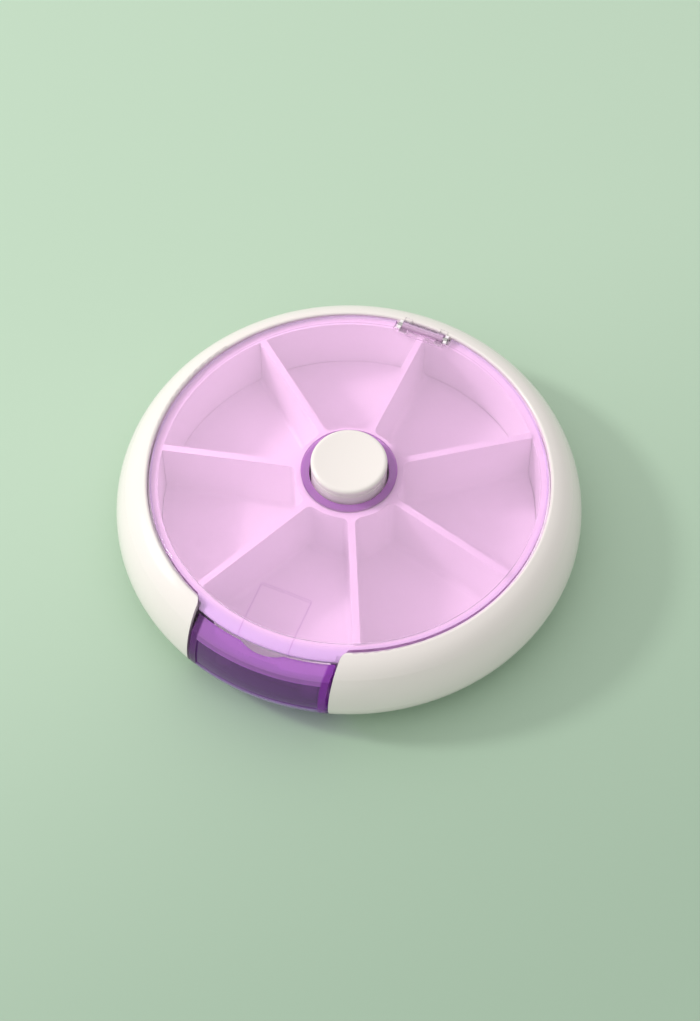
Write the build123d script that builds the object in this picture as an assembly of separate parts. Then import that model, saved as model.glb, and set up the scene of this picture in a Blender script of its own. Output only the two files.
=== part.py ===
from build123d import *
import math
import os

# Round seven-day pill organizer, millimetres.
# The base stands on z = 0 with its centre at the origin, the outlet faces -Y and the lid hinge is at +Y.

os.makedirs("parts", exist_ok=True)

# Outer ring: an egg-shaped shell, open at the front
BELLY_RADIUS = 47.5
BELLY_HEIGHT = 8.0
RING_WIDTH = 7.0
RING_WALL = 1.5
CROWN_INSET = 2.0
CROWN_RISE = 0.3
FOOT_INSET = 6.0
FOOT_LIFT = 0.4
SEAT_WALL = 1.7
FLANGE_WIDTH = 3.0
LIP_ROUNDING = 0.5
CUT_ROUNDING = 2.5

# Outlet in the front of the ring
OUTLET_HALF_WIDTH = 15.1
WINDOW_MARGIN = 2.6
LINTEL = 0.6
SHELF_THICKNESS = 1.5
SHELF_SIDE_GAP = 1.1
THUMB_NOTCH_WIDTH = 9.0
THUMB_NOTCH_DEPTH = 1.0

# Door in the outlet
DOOR_SIDE_GAP = 0.6
DOOR_WALL = 1.3
DOOR_AXIS_GAP = 0.8
DOOR_AXIS_HEIGHT = 3.0
DOOR_LIP_INSET = 0.9
DOOR_PIN_RADIUS = 0.6
DOOR_BARREL_RADIUS = 1.3
DOOR_BARREL_LENGTH = 3.5
DOOR_EAR_WIDTH = 3.2

# Base cover under the drum
COVER_PLATE = 1.2
COVER_POCKET = 0.2
COVER_GAP = 0.15
COVER_RECESS = 0.5
COVER_RIM_WIDTH = 4.0
COVER_RIBS = 6
COVER_BOSS = 4.0
RIB_WIDTH = 1.2
PEG_COUNT = 3
PEG_RADIUS = 0.8

# Drum: the fixed cup that the compartments turn in
DRUM_FLOOR = 1.2
DRUM_WALL = 1.4
DRUM_RING_GAP = 0.7
DRUM_HEIGHT = 17.3
DRUM_CHAMFER = 0.5
COLLAR_RISE = 0.9

# Rotor: seven compartments on one hub
COMPARTMENTS = 7
ROTOR_GAP = 0.4
ROTOR_LIFT = 0.3
ROTOR_FLOOR = 1.0
VANE_THICKNESS = 1.4
HUB_CLEARANCE = 2.1
HUB_WALL = 1.2
POCKET_CORNER = 1.5
POCKET_COVE = 1.2
WASHER_WIDTH = 3.0
WASHER_PLAY = 0.05

# Lid
LID_GAP = 0.4
LID_THICKNESS = 1.2
LID_DOME = 0.9
LID_CLEARANCE = 0.5
LID_ROUNDING = 0.4
RIM_WIDTH = 1.6
WELL_LEDGE = 1.36
WELL_DEPTH = 1.1
TAB_LENGTH = 2.8
TAB_KNEE = 0.5
TAB_DROP = 1.1
TAB_EDGE = 1.0

# Lid hinge at the back
HINGE_INSET = 1.6
HINGE_DROP = 0.3
HINGE_PIN_RADIUS = 0.5
HINGE_BARREL_RADIUS = 1.1
HINGE_KNUCKLE_HALF = 3.0
HINGE_EAR_WIDTH = 2.2
HINGE_SIDE_GAP = 0.3
HINGE_NOTCH_GAP = 0.65

# Button and its travel
BUTTON_RADIUS = 7.67
BUTTON_GAP = 0.63
BUTTON_TRAVEL = 4.0
BUTTON_PROUD = 0.1
CAP_THICKNESS = 1.7
CAP_ROUNDING = 0.7
CAP_DISH = 0.4
GROOVE_DEPTH = 0.2
PLUNGER_STEP = 0.07
PLUNGER_WALL = 1.0
SLEEVE_WALL = 1.0
SHOULDER_RISE = 2.8
SPIGOT_WALL = 1.15
SPIGOT_LENGTH = 2.7
WEB_THICKNESS = 1.2
LUG_RADIUS = 0.55
LUG_COUNT = 2

# Spindle in the middle
SPINDLE_RADIUS = 1.7
SPLINE_RADIUS = 2.25
SPLINE_WIDTH = 1.0
SPLINE_COUNT = 3
SPLINE_GAP = 0.08
SPINDLE_HEX = 5.0
SCREW_CORE = 0.8
SCREW_HEAD_RADIUS = 1.8
SCREW_HEAD_HEIGHT = 1.2
SCREW_LENGTH = 5.0
STOP_WASHER_RADIUS = 2.9
STOP_WASHER_THICKNESS = 0.4
HEAD_GAP = 0.4

# Indexing drive: helical cam, pawls and ratchet
RUNNING_FIT = 0.06
PRESS_GAP = 0.04
DRIVER_WALL = 1.35
DRIVER_GROOVE = 0.85
DRIVER_RIM = 0.65
DRIVER_FLANGE_HEIGHT = 1.0
DRIVER_TOP_GAP = 0.3
SLEEVE_GAP = 0.25
PAWL_COUNT = 3
PAWL_RING_WIDTH = 1.0
PAWL_ARM = 0.5
PAWL_ARM_GAP = 0.4
PAWL_ARM_ANGLE = 62.0
PAWL_TIP_GAP = 0.1
PAWL_LIFT = 0.3
TEETH_PER_COMPARTMENT = 3
TOOTH_DEPTH = 0.7
RATCHET_WALL = 0.56
RATCHET_HEIGHT = 1.2

# Return spring under the plunger's web
SPRING_WIRE = 0.3
SPRING_GAP = 0.75
SPRING_TURNS = 5
WIRE_SIDES = 6

# Detent spring under the rotor
DETENT_ORBIT = 25.0
DETENT_WIDTH = 3.0
DETENT_LENGTH = 13.0
DETENT_SHEET = 0.25
DETENT_BUMP = 1.2
DETENT_POCKET = 0.7
DIMPLE_DEPTH = 0.35

# Radii that follow from the fits, from the ring inward
OPENING_RADIUS = BELLY_RADIUS - RING_WIDTH
CROWN_RADIUS = OPENING_RADIUS - CROWN_INSET
FOOT_RADIUS = OPENING_RADIUS - FOOT_INSET
FLANGE_RADIUS = FOOT_RADIUS - FLANGE_WIDTH
POCKET_RADIUS = FOOT_RADIUS - COVER_POCKET
COVER_RADIUS = POCKET_RADIUS - COVER_GAP
LID_RADIUS = OPENING_RADIUS - LID_GAP
TAB_REACH = OPENING_RADIUS + TAB_LENGTH
TAB_BEND = OPENING_RADIUS + TAB_KNEE
HINGE_OFFSET = OPENING_RADIUS - HINGE_INSET
DRUM_OUTER = OPENING_RADIUS - DRUM_RING_GAP
DRUM_INNER = DRUM_OUTER - DRUM_WALL
ROTOR_RADIUS = DRUM_INNER - ROTOR_GAP
DOOR_EDGE_RADIUS = TAB_REACH + LID_GAP
DOOR_AXIS_OFFSET = DRUM_OUTER + DOOR_AXIS_GAP
RING_CUT_OFFSET = DOOR_AXIS_OFFSET - DOOR_BARREL_RADIUS - 0.4

# Radii of the button and its drive, from the button inward
BUTTON_HOLE = BUTTON_RADIUS + BUTTON_GAP
WELL_RADIUS = BUTTON_HOLE + WELL_LEDGE
PLUNGER_RADIUS = BUTTON_RADIUS - PLUNGER_STEP
HUB_BORE = PLUNGER_RADIUS + HUB_CLEARANCE
HUB_RADIUS = HUB_BORE + HUB_WALL
RATCHET_RADIUS = HUB_BORE - PRESS_GAP
TOOTH_ROOT = RATCHET_RADIUS - RATCHET_WALL
TOOTH_TIP = TOOTH_ROOT - TOOTH_DEPTH
SLEEVE_OUTER = PLUNGER_RADIUS - PLUNGER_WALL
SLEEVE_INNER = SLEEVE_OUTER - SLEEVE_WALL
DRIVER_RADIUS = SLEEVE_INNER - SLEEVE_GAP
DRIVER_BORE = DRIVER_RADIUS - DRIVER_WALL
DRIVER_FLANGE = DRIVER_RADIUS + DRIVER_RIM
PAWL_RING_RADIUS = DRIVER_FLANGE + PAWL_RING_WIDTH
SPRING_RADIUS = DRIVER_BORE - SPRING_WIRE - SPRING_GAP

# Half widths at the outlet and at the lid's hinge
DOOR_HALF_WIDTH = OUTLET_HALF_WIDTH - DOOR_SIDE_GAP
DOOR_BARREL_START = DOOR_HALF_WIDTH - DOOR_BARREL_LENGTH
SHELF_HALF_WIDTH = OUTLET_HALF_WIDTH - SHELF_SIDE_GAP
WINDOW_HALF_WIDTH = OUTLET_HALF_WIDTH - WINDOW_MARGIN
HINGE_EAR_END = HINGE_KNUCKLE_HALF + HINGE_SIDE_GAP + HINGE_EAR_WIDTH
HINGE_NOTCH_HALF = HINGE_EAR_END + HINGE_NOTCH_GAP

# Heights of the box, from the table up
SEAT_HEIGHT = FOOT_LIFT + SEAT_WALL
DRUM_FLOOR_TOP = SEAT_HEIGHT + DRUM_FLOOR
ROTOR_BOTTOM = DRUM_FLOOR_TOP + ROTOR_LIFT
POCKET_FLOOR = ROTOR_BOTTOM + ROTOR_FLOOR
DETENT_FLOOR = DRUM_FLOOR_TOP - DETENT_POCKET
SHELF_BOTTOM = DRUM_HEIGHT - SHELF_THICKNESS
WINDOW_TOP = SHELF_BOTTOM - LINTEL
LID_UNDERSIDE = DRUM_HEIGHT + LID_CLEARANCE
LID_HEIGHT = LID_UNDERSIDE + LID_THICKNESS
LID_CENTRE = LID_HEIGHT + LID_DOME
CROWN_HEIGHT = LID_HEIGHT + CROWN_RISE
HINGE_HEIGHT = LID_HEIGHT - HINGE_DROP

# Heights of the drive: the sleeve stops above the pawls, and the lugs stay in their grooves
COLLAR_TOP = DRUM_FLOOR_TOP + COLLAR_RISE
SPRING_SEAT = COLLAR_TOP + DRIVER_FLANGE_HEIGHT
PAWL_BOTTOM = COLLAR_TOP + PAWL_LIFT
SLEEVE_BOTTOM = PAWL_BOTTOM + DRIVER_FLANGE_HEIGHT + PAWL_LIFT + BUTTON_TRAVEL
LUG_HEIGHT = SLEEVE_BOTTOM + LUG_RADIUS + 0.15
DRIVER_TOP = LUG_HEIGHT + 0.2
WEB_BOTTOM = DRIVER_TOP + DRIVER_TOP_GAP + BUTTON_TRAVEL
WEB_TOP = WEB_BOTTOM + WEB_THICKNESS
SPINDLE_TOP = WEB_TOP + 0.1
HEAD_TOP = SPINDLE_TOP + STOP_WASHER_THICKNESS + SCREW_HEAD_HEIGHT

# The button stands proud of the lid by its travel, and its cap clears the screw when it is down
CAP_OVER_LID = LID_CENTRE + BUTTON_TRAVEL + BUTTON_PROUD
CAP_OVER_SCREW = HEAD_TOP + HEAD_GAP + BUTTON_TRAVEL + CAP_THICKNESS
BUTTON_TOP = max(CAP_OVER_LID, CAP_OVER_SCREW)
CAP_BOTTOM = BUTTON_TOP - CAP_THICKNESS

# Angles
PITCH_ANGLE = 360.0 / COMPARTMENTS
TOOTH_COUNT = COMPARTMENTS * TEETH_PER_COMPARTMENT
CAM_PITCH = BUTTON_TRAVEL * COMPARTMENTS


def upright(face):
    """Stand a radius-height section on the XZ plane."""
    return Plane.XZ * face


def turned(face):
    """Revolve a radius-height section about the vertical axis."""
    return revolve(upright(face), axis=Axis.Z)


def block(x_low, x_high, y_low, y_high, z_low, z_high):
    """A box between two corners."""
    size = Box(x_high - x_low, y_high - y_low, z_high - z_low)
    return Pos((x_low + x_high) / 2, (y_low + y_high) / 2, (z_low + z_high) / 2) * size


def disc(radius, z_low, z_high):
    """A cylinder about the vertical axis between two heights."""
    return Pos(0, 0, (z_low + z_high) / 2) * Cylinder(radius, z_high - z_low)


def tube(inner, outer, z_low, z_high):
    """A hollow cylinder about the vertical axis."""
    return disc(outer, z_low, z_high) - disc(inner, z_low - 1, z_high + 1)


def rod(radius, x_low, x_high, y, z):
    """A cylinder along X between two stations."""
    return Pos((x_low + x_high) / 2, y, z) * Rot(0, 90, 0) * Cylinder(radius, x_high - x_low)


def hexagon(half_width, z_low, z_high):
    """An upright hexagonal bar, measured across its flats."""
    return extrude(Pos(0, 0, z_low) * RegularPolygon(half_width, 6, major_radius=False), z_high - z_low)


def strip(radius_low, radius_high, z_low, z_high):
    """A rectangle in a radius-height section."""
    middle = Pos((radius_low + radius_high) / 2, (z_low + z_high) / 2)
    return middle * Rectangle(radius_high - radius_low, z_high - z_low)


def polygon(points):
    """A face through corner points given in order."""
    return make_face(Polyline(*points, close=True))


def egg_section(inset):
    """Half of the ring's outline, from the axis outward, drawn in by an inset."""
    belly = BELLY_RADIUS - inset
    bottom = FOOT_LIFT + inset
    crown = CROWN_HEIGHT - inset
    side = Vector(belly, BELLY_HEIGHT)
    lower = biarc(Vector(FOOT_RADIUS, bottom), Vector(1, 0), side, Vector(0, 1))
    upper = biarc(side, Vector(0, 1), Vector(CROWN_RADIUS, crown), Vector(-1, 0))
    sides = Polyline((CROWN_RADIUS, crown), (0, crown), (0, bottom), (FOOT_RADIUS, bottom))
    return make_face(lower + upper + sides.edges())


def top_corner(section, radius):
    """The highest corner of a section at a radius."""
    corners = [v for v in section.vertices() if abs(v.X - radius) < 0.01]
    return max(corners, key=lambda v: v.Y)


def make_outer_ring():
    seat_radius = OPENING_RADIUS - 0.2
    wall = egg_section(0) - egg_section(RING_WALL)
    bottom = egg_section(0) & strip(0, seat_radius, 0, SEAT_HEIGHT)
    section = wall + bottom
    section -= strip(0, OPENING_RADIUS, BELLY_HEIGHT, CROWN_HEIGHT + 1)
    section -= strip(0, seat_radius, SEAT_HEIGHT, BELLY_HEIGHT)
    section -= strip(0, FLANGE_RADIUS, 0, SEAT_HEIGHT)
    section -= strip(0, POCKET_RADIUS, 0, COVER_PLATE)
    section = fillet(top_corner(section, OPENING_RADIUS), LIP_ROUNDING)
    ring = turned(section)
    return ring - outlet_cut() - peg_holes(PEG_RADIUS + 0.1)


def outlet_cut():
    """The gap in the front of the ring, with rounded corners beside the lid opening."""
    slot = Pos(0, -BELLY_RADIUS) * Rectangle(2 * OUTLET_HALF_WIDTH, BELLY_RADIUS)
    plan = slot + Circle(OPENING_RADIUS)
    front = [v for v in plan.vertices() if abs(abs(v.X) - OUTLET_HALF_WIDTH) < 0.01 and v.Y > -BELLY_RADIUS]
    plan = fillet(front, CUT_ROUNDING)
    upper = extrude(Pos(0, 0, BELLY_HEIGHT) * plan, CROWN_HEIGHT)
    half = OUTLET_HALF_WIDTH
    lower = block(-half, half, -2 * BELLY_RADIUS, -RING_CUT_OFFSET, -1, BELLY_HEIGHT)
    return upper + lower


def peg_holes(radius):
    """Locating pegs or their holes, through the ring's flange into the drum."""
    orbit = (FLANGE_RADIUS + COVER_RADIUS) / 2
    pegs = [
        Rot(0, 0, 90 + 360 / PEG_COUNT * turn) * Pos(orbit, 0, 0) * disc(radius, COVER_PLATE, DRUM_FLOOR_TOP)
        for turn in range(PEG_COUNT)
    ]
    return Compound(pegs)


def make_base_cover():
    plate = disc(COVER_RADIUS, 0, COVER_PLATE)
    plate -= disc(COVER_RADIUS - COVER_RIM_WIDTH, -1, COVER_RECESS)
    boss = disc(COVER_BOSS, COVER_RECESS, SEAT_HEIGHT)
    cover = plate + boss
    reach = FLANGE_RADIUS - 0.5
    for turn in range(COVER_RIBS):
        rib = block(COVER_BOSS - 1, reach, -RIB_WIDTH / 2, RIB_WIDTH / 2, COVER_PLATE - 0.1, SEAT_HEIGHT)
        cover += Rot(0, 0, 360 / COVER_RIBS * (turn + 0.5)) * rib
    cover += tube(reach - RIB_WIDTH, reach, COVER_PLATE - 0.1, SEAT_HEIGHT)
    for peg in peg_holes(PEG_RADIUS).solids():
        cover += peg
    cover -= disc(SCREW_HEAD_RADIUS + 0.2, -1, SEAT_HEIGHT - 0.7)
    cover -= disc(SCREW_CORE + 0.3, 0, SEAT_HEIGHT + 1)
    return cover


def screw(head_low, head_high, shank_end):
    """A small round-head screw about the vertical axis, without its thread."""
    head = disc(SCREW_HEAD_RADIUS, min(head_low, head_high), max(head_low, head_high))
    tip = head_high if abs(head_high - shank_end) < abs(head_low - shank_end) else head_low
    shank = disc(SCREW_CORE, min(tip, shank_end), max(tip, shank_end))
    slot = block(-1.1, 1.1, -0.2, 0.2, -0.3, 0.3)
    cross = slot + Rot(0, 0, 90) * slot
    face = head_low if tip == head_high else head_high
    return head + shank - Pos(0, 0, face) * cross


def make_base_screw():
    seat = SEAT_HEIGHT - 0.7
    return screw(seat - 0.9, seat, SEAT_HEIGHT + SCREW_LENGTH)


def make_inner_drum():
    section = strip(0, DRUM_OUTER, SEAT_HEIGHT, DRUM_FLOOR_TOP)
    section += strip(DRUM_INNER, DRUM_OUTER, SEAT_HEIGHT, DRUM_HEIGHT)
    section += strip(0, HUB_BORE - RUNNING_FIT, SEAT_HEIGHT, COLLAR_TOP)
    low_corner = [v for v in section.vertices() if abs(v.X - DRUM_OUTER) < 0.01]
    section = chamfer(min(low_corner, key=lambda v: v.Y), DRUM_CHAMFER)
    drum = turned(section)
    drum += outlet_shelf()
    drum += door_ears()
    drum += hinge_ears()
    drum -= block(-WINDOW_HALF_WIDTH, WINDOW_HALF_WIDTH, -BELLY_RADIUS, -HUB_RADIUS, POCKET_FLOOR, WINDOW_TOP)
    clear = HINGE_KNUCKLE_HALF + HINGE_SIDE_GAP
    notch_floor = HINGE_HEIGHT - HINGE_BARREL_RADIUS - 0.6
    drum -= block(-clear, clear, HUB_RADIUS, BELLY_RADIUS, notch_floor, CROWN_HEIGHT)
    drum -= hexagon(SPINDLE_HEX / 2 + 0.05, COLLAR_TOP - 1.0, COLLAR_TOP + 1.0)
    drum -= disc(SPINDLE_RADIUS + 0.05, 0, COLLAR_TOP + 1.0)
    drum -= peg_holes(PEG_RADIUS + 0.1)
    drum -= detent_pocket()
    drum += detent_stake()
    return drum


def outlet_shelf():
    """The ledge over the window that backs the lid's tab."""
    front = TAB_REACH - LID_GAP
    root = DRUM_INNER + 0.5
    section = polygon(
        [
            (root, SHELF_BOTTOM),
            (front, SHELF_BOTTOM),
            (front, tab_underside(front) - LID_CLEARANCE),
            (TAB_BEND, DRUM_HEIGHT),
            (root, DRUM_HEIGHT),
        ]
    )
    shelf = turned(section) & front_slice(SHELF_HALF_WIDTH)
    notch = THUMB_NOTCH_WIDTH / 2
    return shelf - block(-notch, notch, -BELLY_RADIUS, -front + THUMB_NOTCH_DEPTH, 0, CROWN_HEIGHT)


def front_slice(half):
    """The front of the box between two side planes, from the drum's middle outward."""
    return block(-half, half, -BELLY_RADIUS - 1, -HUB_RADIUS, 0, CROWN_HEIGHT + 1)


def tab_underside(radius):
    """Height of the tab's underside, which slopes down past the lid's edge."""
    if radius < TAB_BEND:
        return LID_UNDERSIDE
    return LID_UNDERSIDE - TAB_DROP * (radius - TAB_BEND) / (TAB_REACH - TAB_BEND)


def door_ears():
    """Two lugs on the drum that hold the door's pin."""
    ears = None
    for side in (-1, 1):
        far = DOOR_BARREL_START - HINGE_SIDE_GAP
        near = far - DOOR_EAR_WIDTH
        low, high = sorted((side * near, side * far))
        barrel = rod(DOOR_BARREL_RADIUS - 0.05, low, high, -DOOR_AXIS_OFFSET, DOOR_AXIS_HEIGHT)
        arm = block(low, high, -DOOR_AXIS_OFFSET, -DRUM_INNER + 0.4, SEAT_HEIGHT, DOOR_AXIS_HEIGHT + 1.2)
        ear = barrel + arm - rod(DOOR_PIN_RADIUS, low - 1, high + 1, -DOOR_AXIS_OFFSET, DOOR_AXIS_HEIGHT)
        ears = ear if ears is None else ears + ear
    return ears


def hinge_ears():
    """Two lugs on the back of the drum that hold the lid's pin."""
    ears = None
    for side in (-1, 1):
        near = HINGE_KNUCKLE_HALF + HINGE_SIDE_GAP
        low, high = sorted((side * near, side * (near + HINGE_EAR_WIDTH)))
        barrel = rod(HINGE_BARREL_RADIUS, low, high, HINGE_OFFSET, HINGE_HEIGHT)
        post = block(low, high, HINGE_OFFSET - 0.9, HINGE_OFFSET + 0.9, DRUM_HEIGHT - 2, HINGE_HEIGHT)
        post &= disc(OPENING_RADIUS - HINGE_SIDE_GAP, 0, CROWN_HEIGHT)
        ear = barrel + post - rod(HINGE_PIN_RADIUS, low - 1, high + 1, HINGE_OFFSET, HINGE_HEIGHT)
        ears = ear if ears is None else ears + ear
    return ears


def make_lid_hinge_pin():
    return rod(HINGE_PIN_RADIUS, -HINGE_EAR_END, HINGE_EAR_END, HINGE_OFFSET, HINGE_HEIGHT)


def lid_top(radius):
    """Height of the domed lid's upper face at a radius."""
    share = (radius - WELL_RADIUS) / (LID_RADIUS - WELL_RADIUS)
    return LID_HEIGHT + LID_DOME * (1 - share * share)


def dome_section(z_offset, low):
    """Area under the lid's dome, from the well to the rim."""
    middle = (WELL_RADIUS + LID_RADIUS) / 2
    arc = ThreePointArc(
        (WELL_RADIUS, lid_top(WELL_RADIUS) + z_offset),
        (middle, lid_top(middle) + z_offset),
        (LID_RADIUS, lid_top(LID_RADIUS) + z_offset),
    )
    sides = Polyline(
        (LID_RADIUS, lid_top(LID_RADIUS) + z_offset),
        (LID_RADIUS, low),
        (WELL_RADIUS, low),
        (WELL_RADIUS, lid_top(WELL_RADIUS) + z_offset),
    )
    return make_face([arc, sides])


def make_lid():
    well_wall = WELL_RADIUS + LID_THICKNESS
    inside = dome_section(-LID_THICKNESS, 0)
    inside &= strip(well_wall, LID_RADIUS - RIM_WIDTH, 0, LID_CENTRE)
    section = dome_section(0, LID_UNDERSIDE) - inside
    ledge_top = LID_CENTRE - WELL_DEPTH
    section += strip(BUTTON_HOLE, WELL_RADIUS + 0.1, LID_UNDERSIDE, ledge_top)
    section = fillet(top_corner(section, LID_RADIUS), LID_ROUNDING)
    lid = turned(section)
    back = HINGE_OFFSET - HINGE_BARREL_RADIUS - 0.4
    lid -= block(-HINGE_NOTCH_HALF, HINGE_NOTCH_HALF, back, BELLY_RADIUS, 0, CROWN_HEIGHT)
    lid += lid_tab()
    return lid + lid_knuckle(back)


def lid_tab():
    """The lifting tab over the outlet, sloping down beyond the lid's edge."""
    root = LID_RADIUS - 1.0
    edge_low = tab_underside(TAB_REACH)
    section = polygon(
        [
            (root, LID_UNDERSIDE),
            (TAB_BEND, LID_UNDERSIDE),
            (TAB_REACH, edge_low),
            (TAB_REACH, edge_low + TAB_EDGE),
            (LID_RADIUS - 0.2, LID_HEIGHT - 0.1),
            (root, LID_HEIGHT - 0.1),
        ]
    )
    return turned(section) & front_slice(SHELF_HALF_WIDTH)


def lid_knuckle(back):
    """The lid's hinge barrel on a short arm."""
    half = HINGE_KNUCKLE_HALF
    barrel = rod(HINGE_BARREL_RADIUS, -half, half, HINGE_OFFSET, HINGE_HEIGHT)
    arm = block(-half, half, back - 0.5, HINGE_OFFSET, LID_UNDERSIDE, HINGE_HEIGHT + 0.3)
    hole = rod(HINGE_PIN_RADIUS + RUNNING_FIT, -half - 1, half + 1, HINGE_OFFSET, HINGE_HEIGHT)
    return barrel + arm - hole


def pocket(turn):
    """The space of one compartment, with rounded corners and a coved floor."""
    half_angle = math.radians(PITCH_ANGLE / 2)
    apex = VANE_THICKNESS / 2 / math.sin(half_angle)
    reach = ROTOR_RADIUS + 8
    spread = (reach - apex) * math.tan(half_angle)
    plan = polygon([(apex, 0), (reach, -spread), (reach, spread)]) - Circle(HUB_RADIUS)
    plan = fillet([v for v in plan.vertices() if v.X < HUB_RADIUS + 1], POCKET_CORNER)
    space = extrude(Pos(0, 0, POCKET_FLOOR) * plan, DRUM_HEIGHT)
    space = fillet(space.edges().group_by(Axis.Z)[0], POCKET_COVE)
    return Rot(0, 0, -90 + PITCH_ANGLE * turn) * space


def make_pill_rotor():
    section = strip(HUB_BORE, ROTOR_RADIUS, ROTOR_BOTTOM, DRUM_HEIGHT)
    rotor = turned(section)
    for turn in range(COMPARTMENTS):
        rotor -= pocket(turn)
    for turn in range(COMPARTMENTS):
        rotor -= Rot(0, 0, PITCH_ANGLE * turn) * dimple()
    return rotor


def dimple():
    """A groove under the rotor's floor for the detent spring's bump."""
    reach = DETENT_WIDTH / 2 + 0.5
    height = ROTOR_BOTTOM - DETENT_BUMP + DIMPLE_DEPTH
    return rod(DETENT_BUMP, DETENT_ORBIT - reach, DETENT_ORBIT + reach, 0, height)


def make_thrust_washer():
    inner = HUB_BORE + 1.3
    return tube(inner, inner + WASHER_WIDTH, DRUM_FLOOR_TOP, ROTOR_BOTTOM - WASHER_PLAY)


def detent_pocket():
    """The recess in the drum's floor under the detent spring."""
    half_width = DETENT_WIDTH / 2 + 0.2
    half_length = DETENT_LENGTH / 2 + 0.4
    near = DETENT_ORBIT - half_width
    far = DETENT_ORBIT + half_width
    return block(near, far, -half_length, half_length, DETENT_FLOOR, DRUM_FLOOR_TOP + 1)


def detent_stake():
    """The stake that holds the fixed end of the detent spring."""
    return Pos(DETENT_ORBIT, 2 - DETENT_LENGTH / 2, 0) * disc(0.5, DETENT_FLOOR - 0.1, DRUM_FLOOR_TOP - 0.1)


def make_detent_spring():
    """A leaf whose bump stands just under the rotor, below one of its seven dimples."""
    floor = DETENT_FLOOR
    half = DETENT_LENGTH / 2
    crest = ROTOR_BOTTOM - 0.05
    sheet = DETENT_SHEET
    upper = Polyline((-half, floor + sheet), (-1.5, floor + sheet), (-1.0, floor + sheet + 0.15))
    bump = ThreePointArc((-1.0, floor + sheet + 0.15), (0, crest), (1.0, floor + sheet + 0.15))
    tail = Polyline((1.0, floor + sheet + 0.15), (half, floor + sheet), (half, floor), (0.9, floor + 0.15))
    under = ThreePointArc((0.9, floor + 0.15), (0, crest - sheet), (-0.9, floor + 0.15))
    end = Polyline((-0.9, floor + 0.15), (-1.5, floor), (-half, floor), (-half, floor + sheet))
    profile = Plane.YZ * make_face([upper, bump, tail, under, end])
    leaf = Pos(DETENT_ORBIT - DETENT_WIDTH / 2, 0, 0) * extrude(profile, DETENT_WIDTH)
    return leaf - Pos(DETENT_ORBIT, 2 - half, 0) * disc(0.55, 0, ROTOR_BOTTOM)


def make_ratchet_ring():
    """Saw teeth inside the hub, three for each compartment."""
    points = []
    for tooth in range(TOOTH_COUNT):
        angle = 2 * math.pi / TOOTH_COUNT * tooth
        points.append((TOOTH_TIP * math.cos(angle), TOOTH_TIP * math.sin(angle)))
        points.append((TOOTH_ROOT * math.cos(angle), TOOTH_ROOT * math.sin(angle)))
    section = Circle(RATCHET_RADIUS) - polygon(points)
    return extrude(Pos(0, 0, COLLAR_TOP + 0.2) * section, RATCHET_HEIGHT)


def make_pawl_ring():
    """Three springy pawls, drawn flexed just clear of the ratchet teeth."""
    arm_inner = PAWL_RING_RADIUS + PAWL_ARM_GAP
    arm_outer = arm_inner + PAWL_ARM
    tip = TOOTH_TIP - PAWL_TIP_GAP
    plan = Circle(PAWL_RING_RADIUS) - Circle(DRIVER_FLANGE)
    sweep_angle = math.radians(PAWL_ARM_ANGLE)
    far = 2 * arm_outer
    for turn in range(PAWL_COUNT):
        wedge = polygon(
            [
                (0, 0),
                (far, 0),
                (far * math.cos(sweep_angle / 2), far * math.sin(sweep_angle / 2)),
                (far * math.cos(sweep_angle), far * math.sin(sweep_angle)),
            ]
        )
        arm = (Circle(arm_outer) - Circle(arm_inner)) & wedge
        inner = PAWL_RING_RADIUS - 0.4
        root = polygon([(inner, 0), (arm_outer - 0.05, 0), (arm_outer - 0.1, 0.9), (inner, 0.9)])
        nose = polygon([(arm_inner + 0.1, -0.9), (tip, -0.25), (tip - 0.05, 0), (arm_inner + 0.1, 0)])
        nose = Rot(0, 0, PAWL_ARM_ANGLE) * nose
        plan += Rot(0, 0, 360 / PAWL_COUNT * turn) * (arm + root + nose)
    return extrude(Pos(0, 0, PAWL_BOTTOM) * plan, DRIVER_FLANGE_HEIGHT)


def make_cam_driver():
    """A turning sleeve with two helical grooves; one press turns it by one compartment."""
    low = COLLAR_TOP + 0.1
    driver = tube(DRIVER_BORE, DRIVER_RADIUS, low, DRIVER_TOP)
    driver += tube(DRIVER_BORE, DRIVER_FLANGE - 0.02, low, low + DRIVER_FLANGE_HEIGHT)
    start = LUG_HEIGHT - BUTTON_TRAVEL - DRIVER_GROOVE
    path = Helix(CAM_PITCH, DRIVER_TOP - start + 1.5, DRIVER_RADIUS)
    section = Plane(origin=path @ 0, z_dir=path % 0) * Circle(DRIVER_GROOVE)
    groove = sweep(section, path=path, is_frenet=True)
    lead = 360 / CAM_PITCH * (start - LUG_HEIGHT)
    for lug in range(LUG_COUNT):
        driver -= Pos(0, 0, start) * Rot(0, 0, lead + 360 / LUG_COUNT * lug) * groove
    return driver


def make_button_plunger():
    shoulder = SLEEVE_BOTTOM + SHOULDER_RISE
    section = strip(SLEEVE_INNER, SLEEVE_OUTER, SLEEVE_BOTTOM, WEB_TOP)
    section += strip(SLEEVE_OUTER - 0.1, PLUNGER_RADIUS, shoulder, CAP_BOTTOM)
    section -= strip(0, SLEEVE_OUTER, WEB_TOP, CAP_BOTTOM + 1)
    section += strip(0, SLEEVE_OUTER, WEB_BOTTOM, WEB_TOP)
    section = chamfer(top_corner(section, PLUNGER_RADIUS), GROOVE_DEPTH)
    plunger = turned(section)
    plunger -= Pos(0, 0, WEB_BOTTOM - 1) * splined_bar(SPLINE_GAP, WEB_THICKNESS + 2)
    for lug in range(LUG_COUNT):
        peg = rod(LUG_RADIUS, DRIVER_RADIUS - 0.05, SLEEVE_INNER + 0.3, 0, LUG_HEIGHT)
        tip = Pos(DRIVER_RADIUS - 0.05, 0, LUG_HEIGHT) * Sphere(LUG_RADIUS)
        plunger += Rot(0, 0, 360 / LUG_COUNT * lug) * (peg + tip)
    return plunger


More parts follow.
